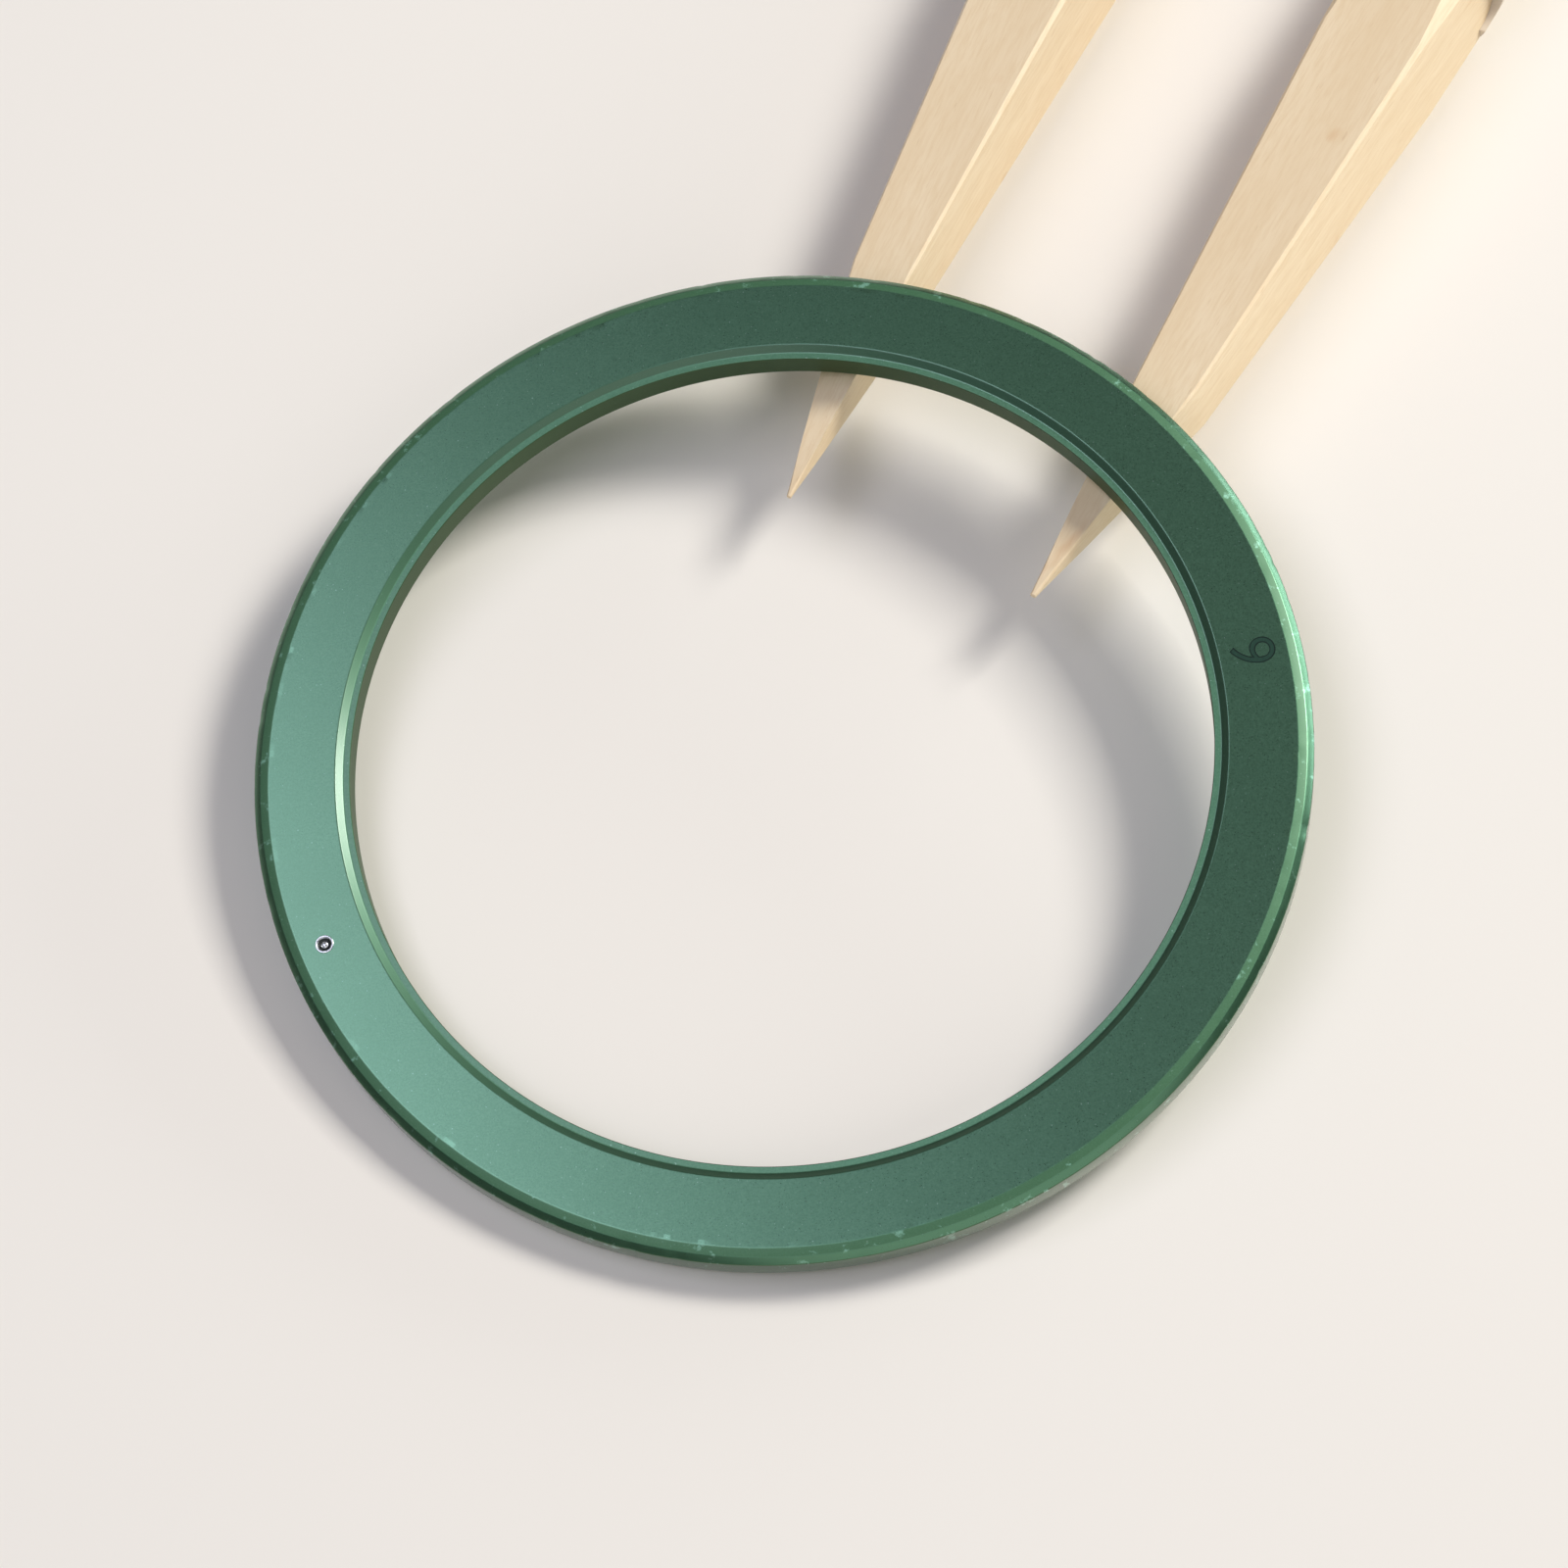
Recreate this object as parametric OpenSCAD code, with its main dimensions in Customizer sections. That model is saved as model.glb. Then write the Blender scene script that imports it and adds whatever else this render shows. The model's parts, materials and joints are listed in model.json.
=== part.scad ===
// Two faceted wooden needle tips with swivelling cable joints, and a stitch ring that lies over them.
// Millimetres. +Z is up, the table is z = 0, and the origin is the centre of the footprint.

/* [Stitch ring] */
// Diameter of the ring's hole
ring_bore_d = 53; // [40:0.5:70]
// Width of the ring's band, hole to rim
ring_band_w = 6; // [4:0.1:9]
// Thickness of the ring
ring_t = 2.4; // [1.8:0.1:4]
// Width of the double bevel round the rim's upper edge
rim_bevel_w = 0.95; // [0.3:0.05:1.4]
// Height of the double bevel round the rim's upper edge
rim_bevel_h = 0.48; // [0.2:0.02:0.8]
// Radius of the rim's lower edge
rim_foot_r = 0.4; // [0.2:0.05:0.6]
// Depth of the step down to the ledge round the hole
ledge_drop = 0.35; // [0.2:0.05:0.8]
// Width of the ledge round the hole
ledge_w = 0.4; // [0.2:0.05:1]
// Width of the sloped step between the face and the ledge
step_w = 0.45; // [0.2:0.05:1]
// Chamfer of the hole's lower edge
hole_chamfer = 0.3; // [0.1:0.05:0.5]

/* [Ring pin and mark] */
// Diameter of the metal pin set in the ring
pin_d = 0.55; // [0.4:0.05:1]
// Diameter of the dark bush round the pin
pin_bush_d = 1; // [0.8:0.05:1.6]
// Plastic left under the pin and its bush
pin_floor = 0.5; // [0.3:0.05:0.8]
// Angle of the pin round the ring
pin_angle = 197.5; // [0:0.5:360]
// Distance of the pin's centre from the rim
pin_inset = 2.5; // [1.5:0.1:3.5]
// Height of the size numeral
mark_h = 2.9; // [2:0.1:4]
// Width of the numeral's stroke
mark_stroke = 0.46; // [0.3:0.02:0.7]
// Depth of the numeral's inlay
mark_depth = 0.3; // [0.2:0.05:0.6]
// Angle of the numeral round the ring
mark_angle = 4.2; // [0:0.1:360]

/* [Wooden tip] */
// Visible length of the wood, point to ferrule
wood_len = 53; // [45:0.5:90]
// Diameter of the needle's body over its rounded corners
body_d = 9.9; // [7.5:0.1:12]
// Length of the pointed end
point_len = 17; // [12:0.5:20]
// Diameter where the pointed end meets the long taper, as a part of the body's
point_ratio = 0.57; // [0.5:0.01:0.7]
// Length of the straight barrel between the long taper and the ferrule
barrel_len = 7; // [3:0.5:12]
// Radius of the blunted point
nose_r = 0.28; // [0.15:0.01:0.5]
// Half-width over the flats as a part of the corner radius
flat_ratio = 0.74; // [0.72:0.01:0.95]
// How far the square section is rolled from lying flat
section_roll = 9; // [0:1:45]
// Length of the wood's tongues that reach into the ferrule's front edge
tongue_r = 2.2; // [1.5:0.1:3]

/* [Ferrule] */
// Length of the ferrule
ferrule_len = 12; // [9:0.5:18]
// Thickness of the ferrule's end wall
ferrule_end_t = 2; // [1.2:0.1:3]
// Glue gap beyond the tenon
tenon_gap = 0.2; // [0.1:0.05:0.5]

/* [Swivel] */
// Diameter of the pivot screw's shoulder
shoulder_d = 3.2; // [2.4:0.1:4]
// Step from the pivot screw's shoulder down to its thread
thread_step = 0.35; // [0.2:0.05:0.6]
// Length of the pivot screw's threaded end
thread_len = 8; // [5:0.5:9]
// Overhang of the pivot screw's head beyond its shoulder
head_lip = 0.7; // [0.5:0.05:1]
// Thickness of the pivot screw's head
head_t = 1.6; // [1:0.1:2.4]
// Thickness of the thrust washer
washer_t = 0.6; // [0.3:0.05:1]
// How far the thrust washer stands in from the ferrule's side
washer_inset = 0.55; // [0.3:0.05:1]
// How far the swivel cup stands in from the ferrule's side
cup_inset = 0.25; // [0.1:0.05:0.6]
// Gap between the pivot screw's head and the cup's inside thread
head_gap = 0.6; // [0.4:0.05:0.8]
// Thickness of the cup's front wall
cup_front_t = 2.5; // [1.5:0.1:4]
// Length of the socket's plug that screws into the cup
plug_len = 3.4; // [2.5:0.1:6]
// Radial running clearance of the swivel
run_clear = 0.05; // [0.02:0.01:0.1]
// End float of the swivel
end_float = 0.1; // [0.05:0.01:0.2]

/* [Cable socket] */
// Diameter of the hole that takes the cable's end
socket_bore_d = 3.1; // [2.2:0.1:4]
// Depth of the hole that takes the cable's end
socket_depth = 9; // [6:0.5:12]
// Length of the tapered socket
socket_len = 10.3; // [9:0.1:14]
// Wall round the cable's hole at the socket's outer end
socket_wall = 0.95; // [0.8:0.05:1.5]
// How far the socket's shoulder stands in from the ferrule's side
socket_inset = 0.65; // [0.4:0.05:1.2]
// Diameter of the grub screws
grub_d = 1.6; // [1.2:0.1:2]
// Distance of the grub screws from the socket's outer end
grub_inset = 6; // [4:0.5:8]

/* [Layout] */
// Front end of the left tip's axis, measured from the ring's centre
left_point = [1.5, 18.3];
// Left tip's direction, point to ferrule
left_dir = 60.2; // [40:0.1:90]
// How far the left tip's point is cut to lean to the left
left_lean = -2.5; // [-5:0.1:5]
// Front end of the right tip's axis, measured from the ring's centre
right_point = [17.3, 8.5];
// Right tip's direction, point to ferrule
right_dir = 55; // [30:0.1:90]
// How far the right tip's point is cut to lean to the left
right_lean = 3; // [-5:0.1:5]
// Gap left between the ring and the tips under it
ring_clear = 0.15; // [0.1:0.05:0.4]

/* [Hidden] */
$fn = 96;
eps = 0.01;
tongue_root = 0.3;
// Depth to which the pointed end is rooted in the shaft
point_root = 1;

ring_green = "#3f7d5f";
wood_pale = "#e6cf9f";
ferrule_grey = "#c9c3b8";
steel_grey = "#9da1a5";
brass_gold = "#c2a04e";
mark_dark = "#26302b";

// Ring radii
bore_r = ring_bore_d / 2;
rim_r = bore_r + ring_band_w;
face_in_r = bore_r + ledge_w + step_w;
pin_r = rim_r - pin_inset;
pin_len = ring_t - pin_floor;
mark_r = (face_in_r + rim_r - rim_bevel_w) / 2;
foot_points = 6;

// Stations along a tip, measured from its point
body_r = body_d / 2;
point_r = body_r * point_ratio;
taper_end = wood_len - barrel_len;
ferrule_end = wood_len + ferrule_len;
tenon_r = body_r * flat_ratio;
tenon_end = ferrule_end - ferrule_end_t - tenon_gap;
shoulder_r = shoulder_d / 2;
thread_d = shoulder_d - 2 * thread_step;
head_d = shoulder_d + 2 * head_lip;
washer_d = body_d - 2 * washer_inset;
cup_d = body_d - 2 * cup_inset;
cup_bore_d = head_d + 2 * head_gap;
socket_root_d = body_d - 2 * socket_inset;
socket_end_d = socket_bore_d + 2 * socket_wall;
washer_start = ferrule_end + end_float / 2;
cup_start = washer_start + washer_t + end_float / 2;
cup_wall_end = cup_start + cup_front_t;
head_start = cup_wall_end + end_float;
plug_start = head_start + head_t + 4 * end_float;
cup_end = plug_start + plug_len;
socket_end = cup_end + socket_len;
ogive_power = 0.83;
ogive_steps = 9;

// Corner radius of the wood at station s
function tip_r(s) =
    s < point_len ? max(nose_r, point_r * pow(max(s, eps) / point_len, ogive_power)) :
    s < taper_end ? point_r + (body_r - point_r) * (s - point_len) / (taper_end - point_len) :
    body_r;

// Where a tip's axis crosses a circle of radius r about the ring's centre
function crossing(p, a, r) =
    let (b = p[0] * cos(a) + p[1] * sin(a))
    sqrt(r * r - p[0] * p[0] - p[1] * p[1] + b * b) - b;
function bearing(p, a, s) = atan2(p[1] + s * sin(a), p[0] + s * cos(a));

// The ring leans from the table up over both tips
left_cross = crossing(left_point, left_dir, rim_r);
right_cross = crossing(right_point, right_dir, rim_r);
left_bearing = bearing(left_point, left_dir, left_cross);
right_bearing = bearing(right_point, right_dir, right_cross);
ring_high = (left_bearing + right_bearing) / 2;
ring_spread = cos((left_bearing - right_bearing) / 2);
tip_rise = cos(max(0, acos(flat_ratio) - section_roll));
tip_top = body_r + max(tip_r(left_cross), tip_r(right_cross)) * tip_rise + ring_clear;
ring_tilt = asin(tip_top / (rim_r * ring_spread + rim_r - rim_foot_r));
ring_base = (rim_r - rim_foot_r) * sin(ring_tilt) + rim_foot_r * (1 - cos(ring_tilt));

// Centre of the footprint: the ring's rim on two sides, the sockets' ends on the others
far_x = right_point[0] + socket_end * cos(right_dir) + socket_end_d / 2 * sin(right_dir);
far_y = left_point[1] + socket_end * sin(left_dir) + socket_end_d / 2 * cos(left_dir);
middle = [(far_x - rim_r) / 2, (far_y - rim_r) / 2];

module in_ring() {
    translate([-middle[0], -middle[1], ring_base])
        rotate([0, 0, ring_high]) rotate([0, -ring_tilt, 0]) rotate([0, 0, -ring_high]) children();
}

// Children are drawn along +Z from the front end of the tip's axis, with -X up
module in_tip(point, dir) {
    translate([point[0] - middle[0], point[1] - middle[1], body_r]) rotate([0, 90, dir]) children();
}

module tube(r_out, r_in, z0, z1) {
    difference() {
        translate([0, 0, z0]) cylinder(r = r_out, h = z1 - z0);
        translate([0, 0, z0 - eps]) cylinder(r = r_in, h = z1 - z0 + 2 * eps);
    }
}

// ---- Stitch ring ----

module ring_outline() {
    polygon(concat(
        [[bore_r + hole_chamfer, 0]],
        [for (i = [0:foot_points]) let (a = -90 + 90 * i / foot_points)
            [rim_r - rim_foot_r + rim_foot_r * cos(a), rim_foot_r + rim_foot_r * sin(a)]],
        [[rim_r, ring_t - rim_bevel_h],
         [rim_r - rim_bevel_w * 0.45, ring_t - rim_bevel_h * 0.38],
         [rim_r - rim_bevel_w, ring_t],
         [face_in_r, ring_t],
         [bore_r + ledge_w, ring_t - ledge_drop],
         [bore_r, ring_t - ledge_drop],
         [bore_r, hole_chamfer]]
    ));
}

module numeral() {
    bowl_r = mark_h * 0.32;
    bowl_y = mark_h / 2 - bowl_r;
    translate([0, bowl_y]) difference() {
        circle(r = bowl_r, $fn = 48);
        circle(r = bowl_r - mark_stroke, $fn = 48);
    }
    translate([bowl_r - mark_stroke, -mark_h / 2]) square([mark_stroke, mark_h - bowl_r]);
    translate([-bowl_r * 0.7, -mark_h / 2]) square([bowl_r * 1.7 - eps, mark_stroke]);
}

// The numeral's top points outwards
module at_mark() {
    rotate([0, 0, mark_angle]) translate([mark_r, 0, ring_t - mark_depth]) rotate([0, 0, -90]) children();
}

module at_pin() {
    rotate([0, 0, pin_angle]) translate([pin_r, 0, ring_t - pin_len]) children();
}

module marker_ring() {
    color(ring_green) in_ring() difference() {
        rotate_extrude($fn = 240) ring_outline();
        at_mark() linear_extrude(mark_depth + eps) numeral();
        at_pin() cylinder(d = pin_bush_d, h = pin_len + eps, $fn = 32);
    }
}

module ring_pin() {
    color(steel_grey) in_ring() at_pin() cylinder(d = pin_d, h = pin_len, $fn = 32);
}

module ring_pin_bush() {
    color(mark_dark) in_ring() at_pin() difference() {
        cylinder(d = pin_bush_d, h = pin_len, $fn = 32);
        translate([0, 0, -eps]) cylinder(d = pin_d, h = pin_len + 2 * eps, $fn = 32);
    }
}

module size_mark() {
    color(mark_dark) in_ring() at_mark() linear_extrude(mark_depth) numeral();
}

// ---- Wooden tip ----

// The pointed end, with a root that is buried in the shaft
module point_outline() {
    polygon(concat(
        [[0, 0], [nose_r * 0.7, 0]],
        [for (i = [1:ogive_steps]) let (s = point_len * i / ogive_steps) [tip_r(s), s]],
        [[point_r, point_len + point_root], [0, point_len + point_root]]
    ));
}

module shaft_outline() {
    polygon([
        [0, point_len], [point_r, point_len], [body_r, taper_end], [body_r, wood_len],
        [tenon_r, wood_len], [tenon_r, tenon_end], [0, tenon_end]
    ]);
}

// One flat: everything outside the plane through (r0, s0) and (r1, s1)
module flat_cut(r0, s0, r1, s1) {
    lean = atan2(r1 - r0, s1 - s0);
    translate([r0, 0, s0]) rotate([0, lean, 0])
        translate([0, -body_d, -wood_len]) cube([2 * body_d, 2 * body_d, 3 * wood_len]);
}

// Four flats, square to each other
module flats(r0, s0, r1, s1) {
    for (i = [0:3]) rotate([0, 0, 90 * i]) flat_cut(r0 * flat_ratio, s0, r1 * flat_ratio, s1);
}

// Round notches in the ferrule's front edge, one at the end of each flat
module tongues(r) {
    for (i = [0:3]) rotate([0, 0, 90 * i]) translate([0, 0, wood_len]) rotate([0, 90, 0])
        cylinder(r = r, h = body_d, $fn = 48);
}

module wood_point(lean) {
    translate([0, 0, point_len]) rotate([lean, 0, 0]) translate([0, 0, -point_len])
        rotate([0, 0, -section_roll]) difference() {
            rotate_extrude() point_outline();
            flats(nose_r, 0, point_r, point_len);
        }
}

module wood_shaft() {
    rotate([0, 0, -section_roll]) difference() {
        union() {
            rotate_extrude() shaft_outline();
            intersection() {
                tube(body_r, tenon_r - tongue_root, wood_len - tongue_root, wood_len + tongue_r);
                tongues(tongue_r);
            }
        }
        flats(point_r, point_len, body_r, taper_end);
        pivot_hole();
    }
}

module pivot_hole() {
    translate([0, 0, tenon_end - thread_len]) cylinder(d = thread_d, h = thread_len + 1, $fn = 48);
}

module tip_wood(point, dir, lean) {
    color(wood_pale) in_tip(point, dir) union() {
        wood_point(lean);
        wood_shaft();
    }
}

// ---- Ferrule and swivel ----

module ferrule(point, dir) {
    color(ferrule_grey) in_tip(point, dir) rotate([0, 0, -section_roll]) difference() {
        rotate_extrude() polygon([
            [tenon_r, wood_len], [body_r, wood_len], [body_r, ferrule_end], [shoulder_r, ferrule_end],
            [shoulder_r, ferrule_end - ferrule_end_t], [tenon_r, ferrule_end - ferrule_end_t]
        ]);
        tongues(tongue_r);
    }
}

module pivot_screw(point, dir) {
    color(steel_grey) in_tip(point, dir) difference() {
        union() {
            translate([0, 0, tenon_end - thread_len]) cylinder(d = thread_d, h = thread_len + eps, $fn = 48);
            translate([0, 0, tenon_end]) cylinder(d = shoulder_d, h = head_start - tenon_end + eps, $fn = 64);
            translate([0, 0, head_start]) cylinder(d = head_d, h = head_t, $fn = 64);
        }
        translate([-0.4, -head_d, head_start + head_t / 2]) cube([0.8, 2 * head_d, head_t]);
    }
}

module thrust_washer(point, dir) {
    color(brass_gold) in_tip(point, dir)
        tube(washer_d / 2, shoulder_r + run_clear, washer_start, washer_start + washer_t);
}

module cup_outline() {
    edge = 0.4;
    polygon([
        [shoulder_r + run_clear, cup_start],
        [cup_d / 2 - edge, cup_start], [cup_d / 2, cup_start + edge],
        [cup_d / 2, cup_end - edge], [cup_d / 2 - edge, cup_end],
        [cup_bore_d / 2, cup_end], [cup_bore_d / 2, cup_wall_end],
        [shoulder_r + run_clear, cup_wall_end]
    ]);
}

module swivel_cup(point, dir) {
    color(steel_grey) in_tip(point, dir) rotate_extrude() cup_outline();
}

module socket_outline() {
    edge = 0.4;
    polygon([
        [0, plug_start], [cup_bore_d / 2, plug_start], [cup_bore_d / 2, cup_end],
        [socket_root_d / 2, cup_end], [socket_root_d / 2, cup_end + 2 * edge],
        [socket_end_d / 2, socket_end - edge], [socket_end_d / 2 - edge, socket_end],
        [socket_bore_d / 2, socket_end], [socket_bore_d / 2, socket_end - socket_depth],
        [0, socket_end - socket_depth]
    ]);
}

// Two opposite radial holes; the screws in them are backed off the cable's bore
module grub_holes(r_in, r_out) {
    for (i = [0:1]) rotate([0, 0, 90 + 180 * i]) translate([r_in, 0, socket_end - grub_inset])
        rotate([0, 90, 0]) cylinder(d = grub_d, h = r_out - r_in, $fn = 48);
}

module cable_socket(point, dir) {
    color(steel_grey) in_tip(point, dir) difference() {
        rotate_extrude() socket_outline();
        grub_holes(socket_bore_d / 4, socket_root_d);
    }
}

module grub_screws(point, dir) {
    color(steel_grey) in_tip(point, dir) grub_holes(socket_bore_d / 2 + end_float, socket_end_d / 2 + 0.2);
}

marker_ring();
ring_pin();
ring_pin_bush();
size_mark();
tip_wood(left_point, left_dir, left_lean);  // left_tip_wood
ferrule(left_point, left_dir);  // left_ferrule
pivot_screw(left_point, left_dir);  // left_pivot_screw
thrust_washer(left_point, left_dir);  // left_thrust_washer
swivel_cup(left_point, left_dir);  // left_swivel_cup
cable_socket(left_point, left_dir);  // left_cable_socket
grub_screws(left_point, left_dir);  // left_grub_screws
tip_wood(right_point, right_dir, right_lean);  // right_tip_wood
ferrule(right_point, right_dir);  // right_ferrule
pivot_screw(right_point, right_dir);  // right_pivot_screw
thrust_washer(right_point, right_dir);  // right_thrust_washer
swivel_cup(right_point, right_dir);  // right_swivel_cup
cable_socket(right_point, right_dir);  // right_cable_socket
grub_screws(right_point, right_dir);  // right_grub_screws
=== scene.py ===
import json
import math
import random

import bpy
from mathutils import Matrix, Vector


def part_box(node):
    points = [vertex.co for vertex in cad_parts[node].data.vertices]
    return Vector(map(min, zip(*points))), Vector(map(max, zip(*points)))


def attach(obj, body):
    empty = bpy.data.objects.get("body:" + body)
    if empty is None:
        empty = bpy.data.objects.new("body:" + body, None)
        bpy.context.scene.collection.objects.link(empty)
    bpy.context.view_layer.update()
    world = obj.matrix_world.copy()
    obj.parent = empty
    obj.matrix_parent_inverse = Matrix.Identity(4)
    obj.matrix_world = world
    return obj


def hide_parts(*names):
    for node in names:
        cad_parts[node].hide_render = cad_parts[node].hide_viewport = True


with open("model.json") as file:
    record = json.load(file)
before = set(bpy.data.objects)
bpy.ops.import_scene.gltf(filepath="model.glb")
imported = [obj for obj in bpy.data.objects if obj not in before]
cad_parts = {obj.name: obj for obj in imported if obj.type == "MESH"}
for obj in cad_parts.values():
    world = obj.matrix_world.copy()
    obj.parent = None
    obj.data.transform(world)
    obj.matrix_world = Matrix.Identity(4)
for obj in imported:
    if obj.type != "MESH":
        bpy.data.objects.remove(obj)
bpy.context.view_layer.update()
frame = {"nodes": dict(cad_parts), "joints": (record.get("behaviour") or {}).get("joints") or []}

# ---- Lie of the ring, and the camera ----
# The ring leans from the table up over the two needle tips, and its high side points between them.
# The camera looks down on it from the front, rolled slightly, at the distance of a close-up.
MM = 0.001
RING_RIM_R = 32.5
RIM_FOOT_R = 0.4
RIM_SIDE_TOP = 1.92
RING_HIGH_SIDE = math.radians(56.227)
RING_LEAN = math.radians(6.575)

ring_turn = (
    Matrix.Rotation(RING_HIGH_SIDE, 4, "Z")
    @ Matrix.Rotation(-RING_LEAN, 4, "Y")
    @ Matrix.Rotation(-RING_HIGH_SIDE, 4, "Z")
)
ring_low, ring_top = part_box("marker_ring")
ring_up = ring_turn.to_3x3() @ Vector((0, 0, 1))
ring_spot = (ring_low + ring_top) / 2 - ring_up * (RIM_FOOT_R + RIM_SIDE_TOP) / 2 * MM
ring_spot.z = ((RING_RIM_R - RIM_FOOT_R) * math.sin(RING_LEAN) + RIM_FOOT_R * (1 - math.cos(RING_LEAN))) * MM

VIEW_ANGLE = math.radians(20)
CAMERA_IN_FRONT = 0.12692
CAMERA_UP = 0.24562
CAMERA_PITCH = math.radians(27.38)
CAMERA_ROLL = math.radians(-5.88)

camera = bpy.data.objects.new("camera", bpy.data.cameras.new("camera"))
bpy.context.scene.collection.objects.link(camera)
camera.data.sensor_fit = "HORIZONTAL"
camera.data.angle = VIEW_ANGLE
camera.data.clip_start = 0.005
camera.matrix_world = (
    Matrix.Translation((ring_spot.x, ring_spot.y - CAMERA_IN_FRONT, CAMERA_UP))
    @ Matrix.Rotation(CAMERA_PITCH, 4, "X")
    @ Matrix.Rotation(CAMERA_ROLL, 4, "Z")
)
bpy.context.scene.camera = camera

# ---- Stitch ring ----
# A flat ring moulded in dark green plastic with a fine metallic pigment; its rim's side and inner bevel are
# less metallic than its face.
# Its rim is bevelled twice, a sloped step leads down to a ledge round the hole, and use has nicked the rim.
RING_HOLE_R = 26.5
RING_THICK = 2.4
RING_SIDES = 480
RIM_SIDE_MIDDLE = 1.05
RIM_BEVEL_W = 0.95
RIM_EDGE_W = 0.43
RIM_EDGE_H = 2.22
STEP_START = 0.86
LEDGE_W = 0.44
LEDGE_DROP = 0.35
HOLE_CHAMFER = 0.3
FACE_LOOPS = (1.25, 3.6)  # rows of points on the flat face, in from the rim
RING_ROUNDING = 0.07
NICKS = 150


def only(piece):
    """Makes a piece the active one, and the only one selected."""
    bpy.ops.object.select_all(action="DESELECT")
    piece.select_set(True)
    bpy.context.view_layer.objects.active = piece


def turned(name, outline, sides=96):
    """A lathe piece about Z: a circle is drawn out and resized from point to point of its outline, in mm."""
    bpy.ops.object.select_all(action="DESELECT")
    radius, height = outline[0]
    bpy.ops.mesh.primitive_circle_add(vertices=sides, radius=radius * MM, location=(0, 0, 0))
    piece = bpy.context.object
    piece.name = name
    bpy.ops.object.mode_set(mode="EDIT")
    bpy.ops.mesh.select_all(action="SELECT")
    bpy.ops.transform.translate(value=(0, 0, height * MM))
    for next_radius, next_height in outline[1:]:
        bpy.ops.mesh.extrude_region_move(
            TRANSFORM_OT_translate={"value": (0, 0, (next_height - height) * MM)}
        )
        if next_radius != radius:
            grow = next_radius / radius
            bpy.ops.transform.resize(value=(grow, grow, 1), center_override=(0, 0, 0))
        radius, height = next_radius, next_height
    bpy.ops.mesh.select_all(action="SELECT")
    bpy.ops.mesh.remove_doubles(threshold=0.0005 * MM)
    bpy.ops.mesh.fill_holes(sides=0)
    bpy.ops.mesh.select_all(action="SELECT")
    bpy.ops.mesh.normals_make_consistent(inside=False)
    bpy.ops.object.mode_set(mode="OBJECT")
    return piece


def evenly_shaded(piece, flat_top=False):
    """Smooth shading in which large flat faces, and if asked those that look up, stay flat to their edges."""
    only(piece)
    bpy.ops.mesh.customdata_custom_splitnormals_clear()
    bpy.ops.object.shade_smooth_by_angle(angle=math.radians(28))
    for face in piece.data.polygons:
        if flat_top and face.normal.z > 0.9999:
            face.use_smooth = False
    weighted = piece.modifiers.new("weighted", "WEIGHTED_NORMAL")
    weighted.keep_sharp = True
    weighted.weight = 100
    bpy.ops.object.modifier_apply(modifier=weighted.name)


def softened(piece, width, segments=3, over=25):
    """Rounds every edge of a piece that turns by more than some degrees; width in mm."""
    only(piece)
    bevel = piece.modifiers.new("softened", "BEVEL")
    bevel.width = width * MM
    bevel.segments = segments
    bevel.limit_method = "ANGLE"
    bevel.angle_limit = math.radians(over)
    bpy.ops.object.modifier_apply(modifier=bevel.name)
    evenly_shaded(piece)


def cut_away(piece, cutter, operation="DIFFERENCE"):
    """Cuts one piece by the shape of another, or with UNION adds it."""
    only(piece)
    cut = piece.modifiers.new("cut", "BOOLEAN")
    cut.operation = operation
    cut.solver = "EXACT"
    cut.object = cutter
    bpy.ops.object.modifier_apply(modifier=cut.name)


def placed(piece, place):
    """Moves a finished piece to its place, and keeps its origin at the world's."""
    only(piece)
    piece.matrix_world = place
    bpy.ops.object.transform_apply(location=True, rotation=True, scale=True)


def arc(centre_r, centre_h, radius, start, end, steps):
    """Points of an outline along an arc; angles in degrees from outwards."""
    points = []
    for i in range(steps + 1):
        a = math.radians(start + (end - start) * i / steps)
        points.append((centre_r + radius * math.cos(a), centre_h + radius * math.sin(a)))
    return points


ring_outline = (
    [(RING_HOLE_R + HOLE_CHAMFER, 0.0)]
    + arc(RING_RIM_R - RIM_FOOT_R, RIM_FOOT_R, RIM_FOOT_R, -90, 0, 6)
    + [
        (RING_RIM_R, RIM_SIDE_MIDDLE),
        (RING_RIM_R, RIM_SIDE_TOP),
        (RING_RIM_R - RIM_EDGE_W, RIM_EDGE_H),
        (RING_RIM_R - RIM_BEVEL_W, RING_THICK),
        *[(RING_RIM_R - inset, RING_THICK) for inset in FACE_LOOPS],
        (RING_HOLE_R + STEP_START, RING_THICK),
        (RING_HOLE_R + LEDGE_W, RING_THICK - LEDGE_DROP),
        (RING_HOLE_R, RING_THICK - LEDGE_DROP),
        (RING_HOLE_R, HOLE_CHAMFER),
        (RING_HOLE_R + HOLE_CHAMFER, 0.0),
    ]
)
ring = turned("stitch_ring", ring_outline, RING_SIDES)
softened(ring, RING_ROUNDING, over=14)

# The blind hole for the pin.
PIN_BEARING = math.radians(197.5)
PIN_FROM_RIM = 2.5
PIN_HOLE_R = 0.497
PIN_HOLE_FLOOR = 0.5

pin_spot = Matrix.Rotation(PIN_BEARING, 4, "Z") @ Matrix.Translation(
    ((RING_RIM_R - PIN_FROM_RIM) * MM, 0, PIN_HOLE_FLOOR * MM)
)
drill = turned("drill", [(PIN_HOLE_R, 0.0), (PIN_HOLE_R, RING_THICK + 0.6)], sides=64)
placed(drill, pin_spot)
cut_away(ring, drill)
bpy.data.objects.remove(drill)
evenly_shaded(ring, flat_top=True)

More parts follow.
